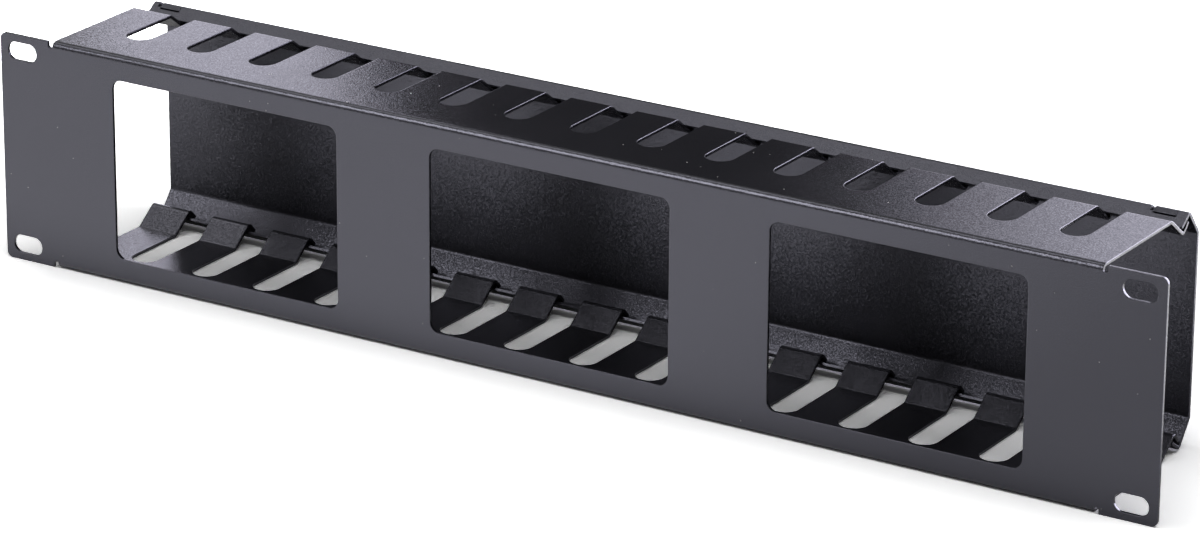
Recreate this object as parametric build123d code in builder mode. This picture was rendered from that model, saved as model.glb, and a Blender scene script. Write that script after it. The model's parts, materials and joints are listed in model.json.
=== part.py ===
"""Horizontal cable manager, 2U high, for a 19 inch rack.

It is made of two folded sheets of steel. The finger panel is one sheet: a plate with
two slotted ears and three cable windows, whose upper and lower edges are folded back
as flanges. The flanges are cut into fingers, and the end of each finger is folded into
a V that catches the cover. The cover is the second sheet: it closes the duct, and its
two hooked lips sit in the V of the fingers.

Frame: X runs along the length, Y runs from the mounting face of the plate to the cover,
and Z is up. The origin is the centre of the rack slots on the mounting face.
"""
from math import cos, radians, sin, tan
import os

from build123d import *

# Sheet
sheet = 1.2
inside_bend_radius = 1.2
peak_bend_radius = 0.4
shoulder_bend_radius = 1.6

# Plate and ears
panel_width = 482.6
rack_height = 88.9
ear_width = 22.0
ear_corner_radius = 2.5
relief_width = 2.0

# Rack slots
rack_slot_end_distance = 9.95
rack_slot_edge_distance = 6.35
rack_slot_length = 13.2
rack_slot_height = 7.0

# Cable windows
window_count = 3
window_pitch = 140.0
window_width = 100.0
window_height = 70.0
window_corner_radius = 4.0

# Fingers
finger_pitch = 27.8
finger_gap = 11.0
finger_gap_start = 19.3
flange_depth = 51.0
ramp_angle = 37.0
ramp_drop = 7.1
lip_angle = 48.0
lip_rise = 3.2

# Cover
catch_clearance = 0.8
hook_angle = 35.0
hook_length = 7.2
peak_overhang = 1.4
shoulder_angle = 51.0
shoulder_depth = 7.8

# Tabs lanced in the cover's hooked lips, each with a notch on its left
tab_length = 8.4
tab_reach = 2.1
tab_opening = 10.0
tab_end_distance = 4.1
tab_shear_gap = 0.15
notch_width = 1.6
notch_depth = 2.9

# Derived sizes
outside_bend_radius = inside_bend_radius + sheet
peak_radius = peak_bend_radius + sheet
half_height = rack_height / 2
flange_length = panel_width - 2 * (ear_width + relief_width)
half_length = flange_length / 2
finger_gap_count = int(flange_length // finger_pitch)
slot_spacing_across = panel_width - 2 * rack_slot_end_distance
slot_spacing_up = rack_height - 2 * rack_slot_edge_distance


def point_along(start, angle, distance):
    """The point at a distance from start, along an angle in degrees from the Y axis."""
    return (start[0] + distance * cos(radians(angle)), start[1] + distance * sin(radians(angle)))


def mirrored(points):
    """The same points below the middle of the section, in the opposite order."""
    return [(y, -z) for y, z in reversed(points)]


def rise_over(run, angle):
    """How far a line at an angle in degrees climbs over a horizontal run."""
    return run * tan(radians(angle))


# Upper half of the finger section, on the outer face of the sheet
front_fold = (0, half_height)
crest = (flange_depth, half_height)
valley = (flange_depth + ramp_drop / tan(radians(ramp_angle)), half_height - ramp_drop)
lip_tip = (valley[0] + lip_rise / tan(radians(lip_angle)), valley[1] + lip_rise)

# Upper half of the cover section, on the outer face of the sheet. The underside of the
# hooked lip runs above the tip of the finger lip, at the catch clearance.
lip_to_hook_face = (catch_clearance + sheet) / cos(radians(hook_angle))
peak = (lip_tip[0] + peak_overhang, lip_tip[1] + lip_to_hook_face + rise_over(peak_overhang, hook_angle))
hook_tip = point_along(peak, 180 + hook_angle, hook_length)
shoulder = (peak[0] + shoulder_depth, peak[1] - rise_over(shoulder_depth, shoulder_angle))


# Finger panel

with BuildPart() as finger_panel:
    # The folded channel: the plate with both flanges, ramps and lips
    with BuildSketch(Plane.YZ.offset(-half_length)):
        with BuildLine():
            upper_half = [lip_tip, valley, crest, front_fold]
            folds = [inside_bend_radius, outside_bend_radius, outside_bend_radius]
            FilletPolyline(*upper_half, *mirrored(upper_half), radius=folds + folds[::-1])
            offset(amount=sheet, side=Side.LEFT)
        make_face()
    extrude(amount=flange_length)

    # The ears, joined to the plate between the relief notches
    with BuildSketch(Plane.XZ) as ear_plate:
        Rectangle(flange_length + 2 * relief_width, rack_height - 2 * outside_bend_radius)
        with Locations((panel_width / 2, 0)):
            Rectangle(ear_width, rack_height, align=(Align.MAX, Align.CENTER))
        with Locations((-panel_width / 2, 0)):
            Rectangle(ear_width, rack_height, align=(Align.MIN, Align.CENTER))
        rows = ear_plate.vertices().group_by(Axis.Y)
        fillet(rows[1] + rows[-2], relief_width / 2)
        columns = ear_plate.vertices().group_by(Axis.X)
        fillet(columns[0] + columns[-1], ear_corner_radius)
    extrude(amount=-sheet)

    # The finger gaps, open at the back and round at the front, through both flanges
    with BuildSketch(Plane.XY):
        gap_length = lip_tip[0] + sheet - finger_gap_start
        with GridLocations(finger_pitch, 1, finger_gap_count, 1):
            with Locations((0, finger_gap_start + finger_gap / 2)):
                Circle(finger_gap / 2)
                Rectangle(finger_gap, gap_length, align=(Align.CENTER, Align.MIN))
    extrude(amount=rack_height, both=True, mode=Mode.SUBTRACT)

    # The cable windows and the rack slots, through the plate
    with BuildSketch(Plane.XZ):
        with GridLocations(window_pitch, 1, window_count, 1):
            RectangleRounded(window_width, window_height, window_corner_radius)
        with GridLocations(slot_spacing_across, slot_spacing_up, 2, 2):
            SlotOverall(rack_slot_length, rack_slot_height)
    extrude(amount=-2 * sheet, mode=Mode.SUBTRACT)


# Cover

def tangent_length(turn):
    """How far a fold of the given turn, in degrees, reaches along each of its flats."""
    return peak_radius * tan(radians(turn / 2))


# A tab keeps the roll of the peak and leaves it before the lip does
fold_turn = hook_angle + shoulder_angle
tab_turn = fold_turn - tab_opening
tab_peak = point_along(peak, -shoulder_angle, tangent_length(fold_turn) - tangent_length(tab_turn))
tab_tip = point_along(tab_peak, 180 + hook_angle - tab_opening, tangent_length(tab_turn) + tab_reach)
tab_root = point_along(peak, -shoulder_angle, 2 * tangent_length(fold_turn))
tab_centre = half_length - tab_end_distance - tab_length / 2

# The outer face of the upper hooked lip, with its origin on the line of the peak
lip_normal = (0, -sin(radians(hook_angle)), cos(radians(hook_angle)))
lip_plane = Plane(origin=(0, *peak), x_dir=(1, 0, 0), z_dir=lip_normal)
opening_start = -tangent_length(fold_turn) + peak_radius * sin(radians(tab_opening))
opening_end = -tangent_length(fold_turn) - tab_reach - tab_shear_gap

with BuildPart() as cover:
    # Upper half of the folded section: hooked lip, peak, shoulder and face
    with BuildSketch(Plane.YZ.offset(-half_length)):
        with BuildLine():
            folds = [peak_radius, shoulder_bend_radius + sheet]
            FilletPolyline(hook_tip, peak, shoulder, (shoulder[0], 0), radius=folds)
            offset(amount=sheet, side=Side.RIGHT)
        make_face()
    extrude(amount=flange_length)

    # The opening that each tab is lanced from, and the notch through the fold beside it
    with BuildSketch(lip_plane):
        with GridLocations(2 * tab_centre, 1, 2, 1):
            with Locations((0, opening_start)):
                opening_width = tab_length + 2 * tab_shear_gap
                Rectangle(opening_width, opening_start - opening_end, align=(Align.CENTER, Align.MAX))
            with Locations((-tab_length / 2, peak_radius)):
                Rectangle(notch_width, peak_radius + notch_depth, align=(Align.MAX, Align.MAX))
    extrude(amount=-2 * sheet, mode=Mode.SUBTRACT)

    # The tabs, which stand open from the lip
    with BuildSketch(Plane.YZ.offset(-tab_centre), Plane.YZ.offset(tab_centre)):
        with BuildLine():
            FilletPolyline(tab_tip, tab_peak, tab_root, radius=peak_radius)
            offset(amount=sheet, side=Side.RIGHT)
        make_face()
    extrude(amount=tab_length / 2, both=True)

    # The lower half of the cover is the same
    mirror(about=Plane.XY)


os.makedirs("parts", exist_ok=True)
finger_panel.part.label = "finger_panel"
export_step(finger_panel.part, "parts/finger_panel.step")
cover.part.label = "cover"
export_step(cover.part, "parts/cover.step")
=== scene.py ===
"""Studio view of the 2U horizontal cable manager.

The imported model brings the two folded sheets, the finger panel and the cover. This file
gives them their satin black powder coat, adds the dust that has settled on the panel, and
sets the floor, the light and the camera. Lengths are in metres, apart from names in _mm.
"""

from __future__ import annotations

import json
import logging
import math
from dataclasses import dataclass, field
from enum import Enum
from typing import Any

import bpy
from mathutils import Matrix, Vector

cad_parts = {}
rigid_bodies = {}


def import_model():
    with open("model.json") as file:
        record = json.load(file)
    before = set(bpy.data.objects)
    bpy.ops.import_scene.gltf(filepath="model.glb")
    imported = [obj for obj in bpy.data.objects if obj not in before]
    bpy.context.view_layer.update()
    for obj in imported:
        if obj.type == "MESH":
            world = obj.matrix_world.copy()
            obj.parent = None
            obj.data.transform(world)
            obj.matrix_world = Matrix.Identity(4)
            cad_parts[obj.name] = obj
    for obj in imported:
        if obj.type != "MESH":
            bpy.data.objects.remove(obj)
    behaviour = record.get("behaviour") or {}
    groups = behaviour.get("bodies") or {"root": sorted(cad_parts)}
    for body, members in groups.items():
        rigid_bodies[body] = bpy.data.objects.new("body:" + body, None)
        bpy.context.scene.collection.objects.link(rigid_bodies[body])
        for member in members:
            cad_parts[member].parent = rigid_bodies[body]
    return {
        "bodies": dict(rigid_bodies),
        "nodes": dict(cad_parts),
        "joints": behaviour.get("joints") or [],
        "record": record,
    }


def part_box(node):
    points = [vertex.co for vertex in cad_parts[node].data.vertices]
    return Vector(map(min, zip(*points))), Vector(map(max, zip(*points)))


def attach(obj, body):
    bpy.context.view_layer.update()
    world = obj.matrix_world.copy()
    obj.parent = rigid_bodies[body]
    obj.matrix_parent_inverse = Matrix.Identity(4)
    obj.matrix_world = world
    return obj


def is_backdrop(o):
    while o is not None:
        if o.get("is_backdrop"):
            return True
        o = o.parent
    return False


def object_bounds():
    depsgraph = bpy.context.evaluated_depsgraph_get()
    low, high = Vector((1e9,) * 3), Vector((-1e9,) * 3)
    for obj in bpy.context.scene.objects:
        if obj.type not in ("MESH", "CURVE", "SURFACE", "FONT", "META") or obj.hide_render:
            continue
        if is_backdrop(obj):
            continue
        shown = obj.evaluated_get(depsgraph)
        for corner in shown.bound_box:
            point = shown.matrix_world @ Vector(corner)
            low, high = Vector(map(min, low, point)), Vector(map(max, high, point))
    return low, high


LOG = logging.getLogger("cable_manager")
MM = 0.001

# Numbers of the sockets that share their name with another on the same node
MIX_COLOUR_A = 6
MIX_COLOUR_B = 7
MIX_COLOUR_RESULT = 2
RANDOM_MIN = 2
RANDOM_MAX = 3
RANDOM_RESULT = 1

# What the three channels of a noise's colour are on average
NOISE_MIDDLE = (0.5, 0.5, 0.5)

Colour = tuple[float, float, float, float]
Point = tuple[float, float, float]


class Tone(Enum):
    """The colours of the object and the studio, as sRGB hex values."""

    COAT = "#1c1c1f"
    COAT_GRAIN = "#151518"
    COAT_GLOSS = "#ecebff"
    DUST = "#d6d3cc"
    PAPER = "#e8e8e8"
    CARD = "#f2f0ff"
    WHITE = "#ffffff"

    def linear(self) -> Colour:
        """The tone as a linear colour with full alpha."""
        return linear_colour(self.value)


def linear_colour(hex_colour: str) -> Colour:
    """Turns an sRGB hex value to a linear colour.

    Args:
        hex_colour: A value such as "#333337".

    Returns:
        Red, green, blue and a full alpha.
    """
    channels = [int(hex_colour[start : start + 2], 16) / 255 for start in (1, 3, 5)]
    linear = [c / 12.92 if c <= 0.04045 else ((c + 0.055) / 1.055) ** 2.4 for c in channels]
    return (linear[0], linear[1], linear[2], 1.0)


def add_node(
    tree: bpy.types.NodeTree,
    kind: str,
    sockets: dict[str | int, Any] | None = None,
    **settings: Any,
) -> bpy.types.Node:
    """Adds a node with its settings, values and links.

    Args:
        tree: The tree that the node goes into.
        kind: The node's Blender type.
        sockets: For an input, by name or number, a value or the output that feeds it.
        settings: The node's own properties.

    Returns:
        The new node.
    """
    node = tree.nodes.new(kind)
    for name, value in settings.items():
        setattr(node, name, value)
    for socket, value in (sockets or {}).items():
        if isinstance(value, bpy.types.NodeSocket):
            tree.links.new(value, node.inputs[socket])
        else:
            node.inputs[socket].default_value = value
    return node


def empty_material(name: str) -> bpy.types.Material:
    """A new material whose node tree is empty."""
    material = bpy.data.materials.new(name)
    material.use_nodes = True
    material.node_tree.nodes.clear()
    return material


def by_ray(
    tree: bpy.types.NodeTree,
    seen: float | bpy.types.NodeSocket,
    in_gloss: float | bpy.types.NodeSocket,
    otherwise: float,
) -> bpy.types.NodeSocket:
    """Adds the nodes for a value that depends on what looks at a thing.

    Args:
        tree: The tree that asks.
        seen: The value for the camera and for what is seen through clear things.
        in_gloss: The value for what gloss shows.
        otherwise: The value for the light that the thing gives.

    Returns:
        The socket with the value.
    """
    rays = add_node(tree, "ShaderNodeLightPath").outputs
    direct = add_node(tree, "ShaderNodeMath", {
        0: rays["Is Camera Ray"], 1: rays["Is Transmission Ray"]}, operation="MAXIMUM")
    indirect = add_node(tree, "ShaderNodeMix", {
        "Factor": rays["Is Glossy Ray"], "A": otherwise, "B": in_gloss})
    value = add_node(tree, "ShaderNodeMix", {
        "Factor": direct.outputs["Value"], "A": indirect.outputs["Result"], "B": seen})
    return value.outputs["Result"]


@dataclass(frozen=True)
class PowderCoat:
    """Satin black polyester powder, sprayed on and baked.

    The eye gets a charcoal skin with a soft orange peel, a fine grain that sparkles where a
    reflection ends, and edges that the melted powder has rounded. The real grain is about
    0.1 mm wide, too fine to show in the render, so it is drawn 0.4 mm wide.
    """

    name: str
    roughness: float = 0.22
    roughness_spread: float = 0.04
    ior: float = 1.6
    peel_width_mm: float = 2.6
    peel_height_mm: float = 0.012
    peel_detail: float = 1.0
    grain_width_mm: float = 0.4
    grain_tilt: float = 0.28
    grain_detail: float = 0.0
    cloud_width_mm: float = 45.0
    cloud_detail: float = 2.0
    cloud_low: float = 0.3
    cloud_high: float = 0.7
    edge_radius_mm: float = 0.45
    edge_samples: int = 6

    def build(self) -> bpy.types.Material:
        """Builds the material.

        Returns:
            The powder coat, ready for a node's slot.
        """
        material = empty_material(self.name)
        tree = material.node_tree
        place = add_node(tree, "ShaderNodeTexCoord").outputs["Object"]

        # The width of each pattern's blobs, and how much finer noise lies on them
        patterns = (
            (self.peel_width_mm, self.peel_detail),
            (self.grain_width_mm, self.grain_detail),
            (self.cloud_width_mm, self.cloud_detail),
        )
        peel, grain, cloud = (
            add_node(tree, "ShaderNodeTexNoise", {
                "Vector": place, "Scale": 1 / (width_mm * MM), "Detail": detail}).outputs
            for width_mm, detail in patterns)

        # The pigment is a little darker between the grains
        colour = add_node(tree, "ShaderNodeMix", {
            "Factor": grain["Fac"], MIX_COLOUR_A: Tone.COAT_GRAIN.linear(),
            MIX_COLOUR_B: Tone.COAT.linear()}, data_type="RGBA")

        # The bake leaves some stretches glossier than others
        roughness = add_node(tree, "ShaderNodeMapRange", {
            "Value": cloud["Fac"], "From Min": self.cloud_low, "From Max": self.cloud_high,
            "To Min": self.roughness - self.roughness_spread / 2,
            "To Max": self.roughness + self.roughness_spread / 2})

        rounded = add_node(tree, "ShaderNodeBevel", {
            "Radius": self.edge_radius_mm * MM}, samples=self.edge_samples)
        peeled = add_node(tree, "ShaderNodeBump", {
            "Height": peel["Fac"], "Distance": self.peel_height_mm * MM, "Strength": 1.0,
            "Normal": rounded.outputs["Normal"]})

        # A bump as small as a pixel would be lost, so each grain tilts the surface itself
        lean = add_node(tree, "ShaderNodeVectorMath", {
            0: grain["Color"], 1: NOISE_MIDDLE}, operation="SUBTRACT")
        leaning = add_node(tree, "ShaderNodeVectorMath", {
            0: lean.outputs["Vector"], 1: (self.grain_tilt,) * 3, 2: peeled.outputs["Normal"]},
            operation="MULTIPLY_ADD")
        grained = add_node(tree, "ShaderNodeVectorMath", {
            0: leaning.outputs["Vector"]}, operation="NORMALIZE")

        shader = add_node(tree, "ShaderNodeBsdfPrincipled", {
            "Base Color": colour.outputs[MIX_COLOUR_RESULT],
            "Roughness": roughness.outputs["Result"], "IOR": self.ior, "Metallic": 0.0,
            "Specular Tint": Tone.COAT_GLOSS.linear(), "Normal": grained.outputs["Vector"]})
        add_node(tree, "ShaderNodeOutputMaterial", {"Surface": shader.outputs["BSDF"]})
        return material


@dataclass(frozen=True)
class Lint:
    """Household dust: pale matt flecks that catch the light on a dark coat."""

    name: str = "settled_dust"
    roughness: float = 0.95
    mottle_width_mm: float = 0.2

    def build(self) -> bpy.types.Material:
        """Builds the material.

        Returns:
            The dust's material.
        """
        material = empty_material(self.name)
        tree = material.node_tree
        place = add_node(tree, "ShaderNodeTexCoord").outputs["Object"]
        mottle = add_node(tree, "ShaderNodeTexNoise", {
            "Vector": place, "Scale": 1 / (self.mottle_width_mm * MM)})
        colour = add_node(tree, "ShaderNodeMix", {
            "Factor": mottle.outputs["Fac"], MIX_COLOUR_A: Tone.PAPER.linear(),
            MIX_COLOUR_B: Tone.DUST.linear()}, data_type="RGBA")
        shader = add_node(tree, "ShaderNodeBsdfPrincipled", {
            "Base Color": colour.outputs[MIX_COLOUR_RESULT], "Roughness": self.roughness})
        add_node(tree, "ShaderNodeOutputMaterial", {"Surface": shader.outputs["BSDF"]})
        return material


@dataclass
class FoldedSheet:
    """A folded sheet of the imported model, which gets its finish."""

    node: str
    finish: PowderCoat

    def dress(self, frame: dict[str, Any]) -> bpy.types.Object:
        """Gives the sheet its finish.


        Returns:
            The sheet's object.
        """
        sheet = frame["nodes"][self.node]
        material = self.finish.build()
        for slot in sheet.material_slots:
            slot.material = material
        LOG.info("%s: dressed in %s", self.node, material.name)
        return sheet


@dataclass
class SettledDust:
    """The few flecks of dust that lie on the plate and on the upper flange.

    Geometry Nodes scatter them over the outer faces of the sheet, each lying flat on it.
    """

    name: str
    body: str
    slot: str
    finish: Lint = field(default_factory=Lint)
    flecks_per_square_metre: float = 1300.0
    fleck_radius_mm: float = 0.32
    fleck_width_share: float = 0.7
    fleck_flatness: float = 0.3
    smallest_share: float = 0.35
    outer_face_depth_mm: float = 0.1
    seed: int = 7

    def faces_to_cover(self, sheet: bpy.types.Object) -> bpy.types.Object:
        """Copies the plate's outer face and the upper flange's, which are the outermost.

        Args:
            sheet: The sheet that the dust lies on.

        Returns:
            A new object with those faces only.
        """
        low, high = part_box(sheet.name)
        facing = (Vector((0, -1, 0)), Vector((0, 0, 1)))
        least_match = 0.99
        points: list[Vector] = []
        faces: list[tuple[int, int, int]] = []
        for face in sheet.data.polygons:
            looks_out = max(face.normal.dot(way) for way in facing) > least_match
            depth = min(abs(face.center.y - low.y), abs(face.center.z - high.z))
            if looks_out and depth < self.outer_face_depth_mm * MM:
                first = len(points)
                points += [sheet.data.vertices[v].co.copy() for v in face.vertices]
                faces.append((first, first + 1, first + 2))
        mesh = bpy.data.meshes.new(self.name)
        mesh.from_pydata(points, [], faces)
        covered = bpy.data.objects.new(self.name, mesh)
        bpy.context.scene.collection.objects.link(covered)
        return covered

    def scatter_tree(self, material: bpy.types.Material) -> bpy.types.NodeTree:
        """Builds the Geometry Nodes that scatter the flecks.

        Args:
            material: The flecks' finish.

        Returns:
            A tree with inputs for how many flecks there are, for their shape and for the seed.
        """
        tree = bpy.data.node_groups.new("scatter_flecks", "GeometryNodeTree")
        sockets = tree.interface
        sockets.new_socket("Geometry", in_out="INPUT", socket_type="NodeSocketGeometry")
        for name in ("Density", "Radius", "Width", "Flatness", "Smallest"):
            sockets.new_socket(name, in_out="INPUT", socket_type="NodeSocketFloat")
        sockets.new_socket("Seed", in_out="INPUT", socket_type="NodeSocketInt")
        sockets.new_socket("Geometry", in_out="OUTPUT", socket_type="NodeSocketGeometry")

        given = add_node(tree, "NodeGroupInput").outputs
        spread = add_node(tree, "GeometryNodeDistributePointsOnFaces", {
            "Mesh": given["Geometry"], "Density": given["Density"], "Seed": given["Seed"]})
        ball = add_node(tree, "GeometryNodeMeshIcoSphere", {
            "Radius": given["Radius"], "Subdivisions": 1})
        shape = add_node(tree, "ShaderNodeCombineXYZ", {
            "X": 1.0, "Y": given["Width"], "Z": given["Flatness"]})
        fleck = add_node(tree, "GeometryNodeTransform", {
            "Geometry": ball.outputs["Mesh"], "Scale": shape.outputs["Vector"]})
        size = add_node(tree, "FunctionNodeRandomValue", {
            RANDOM_MIN: given["Smallest"], RANDOM_MAX: 1.0, "Seed": given["Seed"]},
            data_type="FLOAT")
        turn = add_node(tree, "FunctionNodeRandomValue", {
            RANDOM_MIN: 0.0, RANDOM_MAX: math.tau, "Seed": given["Seed"]}, data_type="FLOAT")
        spin = add_node(tree, "ShaderNodeCombineXYZ", {"Z": turn.outputs[RANDOM_RESULT]})
        turned = add_node(tree, "FunctionNodeRotateRotation", {
            "Rotation": spread.outputs["Rotation"], "Rotate By": spin.outputs["Vector"]},
            rotation_space="LOCAL")
        placed = add_node(tree, "GeometryNodeInstanceOnPoints", {
            "Points": spread.outputs["Points"], "Instance": fleck.outputs["Geometry"],
            "Rotation": turned.outputs["Rotation"], "Scale": size.outputs[RANDOM_RESULT]})
        real = add_node(tree, "GeometryNodeRealizeInstances", {
            "Geometry": placed.outputs["Instances"]})
        dressed = add_node(tree, "GeometryNodeSetMaterial", {
            "Geometry": real.outputs["Geometry"], "Material": material})
        add_node(tree, "NodeGroupOutput", {"Geometry": dressed.outputs["Geometry"]})
        return tree

    def build(self, sheet: bpy.types.Object) -> bpy.types.Object:
        """Scatters the flecks and hands them to the sheet's body.

        Args:
            sheet: The sheet that the dust lies on.

        Returns:
            The dust, as one plain mesh.
        """
        piece = self.faces_to_cover(sheet)
        tree = self.scatter_tree(self.finish.build())
        modifier = piece.modifiers.new("scatter", "NODES")
        modifier.node_group = tree
        values = {
            "Density": self.flecks_per_square_metre,
            "Radius": self.fleck_radius_mm * MM,
            "Width": self.fleck_width_share,
            "Flatness": self.fleck_flatness,
            "Smallest": self.smallest_share,
            "Seed": self.seed,
        }
        for item in tree.interface.items_tree:
            if item.in_out == "INPUT" and item.name in values:
                modifier[item.identifier] = values[item.name]
        made = bake_to_mesh(piece)
        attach(made, self.body)
        LOG.info("%s: %d faces", self.name, len(made.data.polygons))
        return made


def bake_to_mesh(piece: bpy.types.Object) -> bpy.types.Object:
    """Turns a piece and its modifiers to a plain mesh.

    Args:
        piece: The piece with its modifiers.

    Returns:
        The same object, with the evaluated mesh and no modifier.
    """
    graph = bpy.context.evaluated_depsgraph_get()
    mesh = bpy.data.meshes.new_from_object(piece.evaluated_get(graph))
    piece.modifiers.clear()
    piece.data = mesh
    mesh.name = piece.name
    return piece


@dataclass(frozen=True)
class Softbox:
    """A flat studio lamp that aims at a point.

    The radiance is what a mirror would show of it, where 1 is white. A lamp can be kept out
    of the gloss, or be seen in the gloss and light nothing.
    """

    name: str
    place: Point
    aim: Point
    width: float
    height: float
    radiance: float
    in_gloss: bool = True
    on_matt: bool = True

    def build(self) -> bpy.types.Object:
        """Builds the lamp.

        Returns:
            The lamp's object.
        """
        lamp = bpy.data.lights.new(self.name, "AREA")
        lamp.shape = "RECTANGLE"
        lamp.size = self.width
        lamp.size_y = self.height
        lamp.energy = self.radiance * math.pi * self.width * self.height
        held = bpy.data.objects.new(self.name, lamp)
        held.location = self.place
        towards = Vector(self.aim) - Vector(self.place)
        held.rotation_euler = towards.to_track_quat("-Z", "Y").to_euler()
        held.visible_glossy = self.in_gloss
        held.visible_diffuse = self.on_matt
        bpy.context.scene.collection.objects.link(held)
        return held


@dataclass(frozen=True)
class ReflectionCard:
    """A card behind the object, which only the gloss of the coat sees.

    It is bright on its left, nearly black in its middle, and grows bright again in two steps
    towards its right, so the upper flange shines at both ends and stays dark between them.
    """

    name: str = "reflection_card"
    distance: float = 0.5
    left: float = -0.59
    right: float = 1.0
    height: float = 0.52
    dark_start: float = -0.431
    dark_start_width: float = 0.01
    fade_start: float = -0.16
    fade_end: float = -0.005
    glint_start: float = 0.12
    glint_end: float = 0.2
    left_radiance: float = 2.1
    middle_radiance: float = 0.04
    right_radiance: float = 2.15
    glint_radiance: float = 12.0

    def material(self) -> bpy.types.Material:
        """Builds the card's light, which depends on the place along its width.

        Returns:
            The card's material.
        """
        material = empty_material(self.name)
        tree = material.node_tree
        place = add_node(tree, "ShaderNodeTexCoord").outputs["Object"]
        across = add_node(tree, "ShaderNodeSeparateXYZ", {"Vector": place}).outputs["X"]

        # Where each change starts and ends, and what it adds to the light before and after it
        changes = (
            (self.dark_start, self.dark_start + self.dark_start_width,
             self.left_radiance, self.middle_radiance),
            (self.fade_start, self.fade_end, 0.0, self.right_radiance),
            (self.glint_start, self.glint_end, 0.0, self.glint_radiance - self.right_radiance),
        )
        radiance: float | bpy.types.NodeSocket = 0.0
        for start, end, before, after in changes:
            change = add_node(tree, "ShaderNodeMapRange", {
                "Value": across, "From Min": start, "From Max": end,
                "To Min": before, "To Max": after})
            total = add_node(tree, "ShaderNodeMath", {
                0: radiance, 1: change.outputs["Result"]}, operation="ADD")
            radiance = total.outputs["Value"]

        glow = add_node(tree, "ShaderNodeEmission", {
            "Color": Tone.CARD.linear(), "Strength": radiance})
        add_node(tree, "ShaderNodeOutputMaterial", {"Surface": glow.outputs["Emission"]})
        return material

    def build(self, floor_height: float) -> bpy.types.Object:
        """Builds the card.

        Args:
            floor_height: Where the floor is.

        Returns:
            The card's object.
        """
        bottom, top = floor_height, floor_height + self.height
        corners = [(self.left, self.distance, bottom), (self.right, self.distance, bottom),
                   (self.right, self.distance, top), (self.left, self.distance, top)]
        card = staged_sheet(self.name, corners, self.material())
        card.visible_camera = False
        card.visible_diffuse = False
        card.visible_shadow = False
        card.visible_transmission = False
        return card


@dataclass(frozen=True)
class WhitePaper:
    """Matt white paper that the object stands on, with the object's soft shadow.

    Where it is seen it is lightened, more so away from the object, so that it is white
    around the shadow. The gloss of the coat shows it bright in front of the object, dimmer
    towards the right, dark behind the object, and brightest past the object's right end.
    """

    name: str = "white_paper"
    size: float = 8.0
    near_gain: float = 2.15
    far_gain: float = 6.0
    near_radius: float = 0.22
    far_radius: float = 0.5
    front_gloss_gain: float = 3.85
    back_gloss_gain: float = 0.7
    back_start: float = -0.04
    back_end: float = 0.06
    dim_start: float = 0.0
    dim_end: float = 0.15
    dim_share: float = 0.64
    glint_start: float = 0.26
    glint_end: float = 0.3
    glint_gain: float = 7.0

    def material(self) -> bpy.types.Material:
        """Builds the paper's colour for each kind of ray.

        Returns:
            The paper's material.
        """
        material = empty_material(self.name)
        tree = material.node_tree
        place = add_node(tree, "ShaderNodeTexCoord").outputs["Object"]
        along = add_node(tree, "ShaderNodeSeparateXYZ", {"Vector": place}).outputs

        by_depth = add_node(tree, "ShaderNodeMapRange", {
            "Value": along["Y"], "From Min": self.back_start, "From Max": self.back_end,
            "To Min": self.front_gloss_gain, "To Max": self.back_gloss_gain})
        by_width = add_node(tree, "ShaderNodeMapRange", {
            "Value": along["X"], "From Min": self.dim_start, "From Max": self.dim_end,
            "To Min": 1.0, "To Max": self.dim_share})
        glint = add_node(tree, "ShaderNodeMapRange", {
            "Value": along["X"], "From Min": self.glint_start, "From Max": self.glint_end,
            "To Min": 0.0, "To Max": self.glint_gain})
        under = add_node(tree, "ShaderNodeMath", {
            0: by_depth.outputs["Result"], 1: by_width.outputs["Result"]}, operation="MULTIPLY")
        gloss = add_node(tree, "ShaderNodeMath", {
            0: under.outputs["Value"], 1: glint.outputs["Result"]}, operation="MAXIMUM")

        radius = add_node(tree, "ShaderNodeVectorMath", {0: place}, operation="LENGTH")
        seen = add_node(tree, "ShaderNodeMapRange", {
            "Value": radius.outputs["Value"], "From Min": self.near_radius,
            "From Max": self.far_radius, "To Min": self.near_gain, "To Max": self.far_gain})

        gain = by_ray(tree, seen.outputs["Result"], gloss.outputs["Value"], 1.0)
        colour = add_node(tree, "ShaderNodeVectorMath", {
            0: Tone.PAPER.linear()[:3], "Scale": gain}, operation="SCALE")
        paper = add_node(tree, "ShaderNodeBsdfDiffuse", {"Color": colour.outputs["Vector"]})
        add_node(tree, "ShaderNodeOutputMaterial", {"Surface": paper.outputs["BSDF"]})
        return material

    def build(self, floor_height: float) -> bpy.types.Object:
        """Lays the paper under the object.

        Args:
            floor_height: Where the floor is.

        Returns:
            The floor's object.
        """
        half = self.size / 2
        signs = ((-1, -1), (1, -1), (1, 1), (-1, 1))
        corners = [(x * half, y * half, floor_height) for x, y in signs]
        return staged_sheet("floor", corners, self.material())


def staged_sheet(name: str, corners: list[Point], material: bpy.types.Material) -> bpy.types.Object:
    """Builds a flat sheet of the studio, which isn't part of the object.

    Args:
        name: The sheet's name.
        corners: Its four corners, in order round it.
        material: Its finish.

    Returns:
        The sheet's object.
    """
    mesh = bpy.data.meshes.new(name)
    mesh.from_pydata(corners, [], [(0, 1, 2, 3)])
    mesh.materials.append(material)
    sheet = bpy.data.objects.new(name, mesh)
    bpy.context.scene.collection.objects.link(sheet)
    sheet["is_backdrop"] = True
    return sheet


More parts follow.
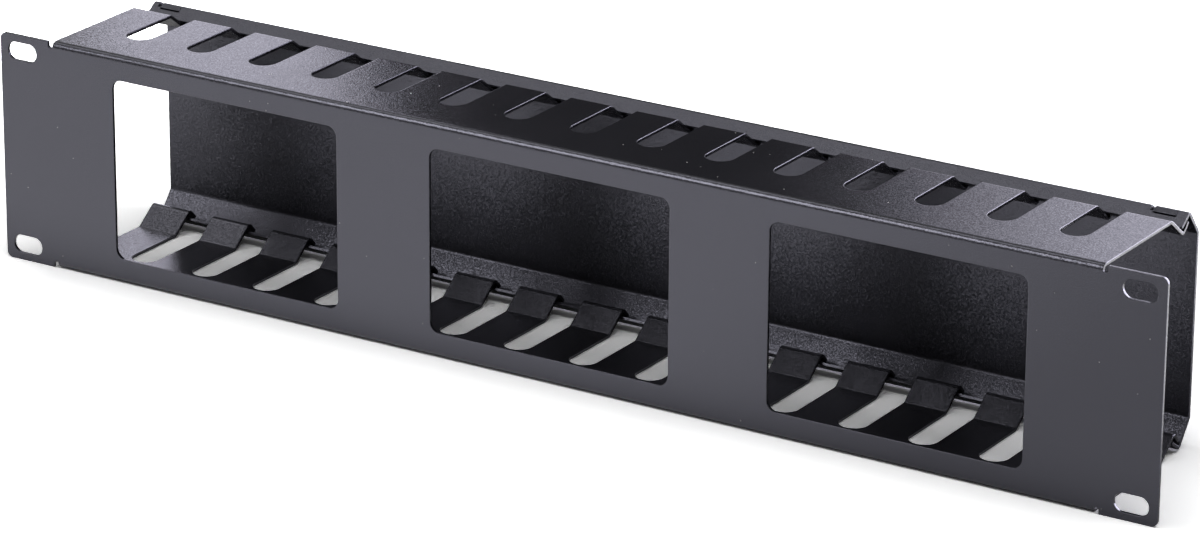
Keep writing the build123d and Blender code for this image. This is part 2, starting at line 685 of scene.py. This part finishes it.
@dataclass(frozen=True)
class Viewpoint:
    """The photograph's camera: where it stands, how it is turned, and its lens."""

    place: Point = (0.96852, -1.52294, 0.66726)
    heading_degrees: float = 31.965
    look_down_degrees: float = 20.433
    roll_degrees: float = 0.384
    lens_mm: float = 163.75
    sensor_mm: float = 36.0
    shift_across: float = 0.00745
    shift_up: float = 0.00610

    def build(self) -> bpy.types.Object:
        """Builds the camera and makes it the scene's own.

        Returns:
            The camera's object.
        """
        lens = bpy.data.cameras.new("photo_camera")
        lens.lens = self.lens_mm
        lens.sensor_width = self.sensor_mm
        lens.shift_x = self.shift_across
        lens.shift_y = self.shift_up
        camera = bpy.data.objects.new("photo_camera", lens)
        turned = Matrix.Rotation(math.radians(self.heading_degrees), 4, "Z")
        tilted = Matrix.Rotation(math.radians(90 - self.look_down_degrees), 4, "X")
        rolled = Matrix.Rotation(math.radians(self.roll_degrees), 4, "Z")
        camera.matrix_world = Matrix.Translation(self.place) @ turned @ tilted @ rolled
        bpy.context.scene.collection.objects.link(camera)
        bpy.context.scene.camera = camera
        return camera


@dataclass
class Studio:
    """The floor, the sky, the reflection card, the lamps and the camera.

    The top softbox lights what is matt. The others are there for the gloss: the two strips
    shine in the cover's hooked lips and in the left fingers, and the key softbox shines along
    the bend at the plate's upper edge.
    """

    floor_height: float
    sky_strength: float = 0.15
    sky_gloss: float = 0.45
    floor: WhitePaper = field(default_factory=WhitePaper)
    card: ReflectionCard = field(default_factory=ReflectionCard)
    viewpoint: Viewpoint = field(default_factory=Viewpoint)
    softboxes: tuple[Softbox, ...] = (
        Softbox("top_softbox", place=(0.1, -0.15, 1.6), aim=(0.1, -0.15, 0.0),
                width=2.8, height=0.9, radiance=2.6, in_gloss=False),
        Softbox("left_strip", place=(-1.25, 0.1, 1.5), aim=(-1.25, 0.1, 0.0),
                width=0.8, height=0.5, radiance=2.2, on_matt=False),
        Softbox("right_strip", place=(-0.45, 0.15, 1.5), aim=(-0.45, 0.15, 0.0),
                width=0.8, height=0.4, radiance=3.0, on_matt=False),
        Softbox("key_softbox", place=(-0.87, -1.2, 1.24), aim=(0.0, 0.0, 0.0),
                width=0.8, height=0.9, radiance=8.5, on_matt=False),
    )

    def build_sky(self) -> None:
        """Fills the studio with even light, and shows white behind the object."""
        world = bpy.data.worlds.new("studio")
        bpy.context.scene.world = world
        world.use_nodes = True
        tree = world.node_tree
        tree.nodes.clear()
        light = add_node(tree, "ShaderNodeBackground", {
            "Color": Tone.WHITE.linear(),
            "Strength": by_ray(tree, 1.0, self.sky_gloss, self.sky_strength)})
        add_node(tree, "ShaderNodeOutputWorld", {"Surface": light.outputs["Background"]})

    def build(self) -> None:
        """Builds the whole studio."""
        self.floor.build(self.floor_height)
        self.build_sky()
        self.card.build(self.floor_height)
        for softbox in self.softboxes:
            softbox.build()
        self.viewpoint.build()
        bpy.context.scene.view_settings.view_transform = "Standard"
        LOG.info("studio: %d softboxes", len(self.softboxes))


def main() -> None:
    """Builds the picture, piece by piece."""
    logging.basicConfig(level=logging.INFO, format="%(message)s")
    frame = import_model()
    cad_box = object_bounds()
    lowest, _ = cad_box
    Studio(floor_height=lowest[2]).build()

    # The cover's coat is baked a little rougher than the panel's
    panel_coat = PowderCoat("panel_powder_coat")
    cover_coat = PowderCoat("cover_powder_coat", roughness=0.32, grain_tilt=0.45)
    panel = FoldedSheet("finger_panel", panel_coat).dress(frame)
    FoldedSheet("cover", cover_coat).dress(frame)
    SettledDust("panel_dust", body="panel", slot="panel_coat").build(panel)


if __name__ == "__main__":
    main()
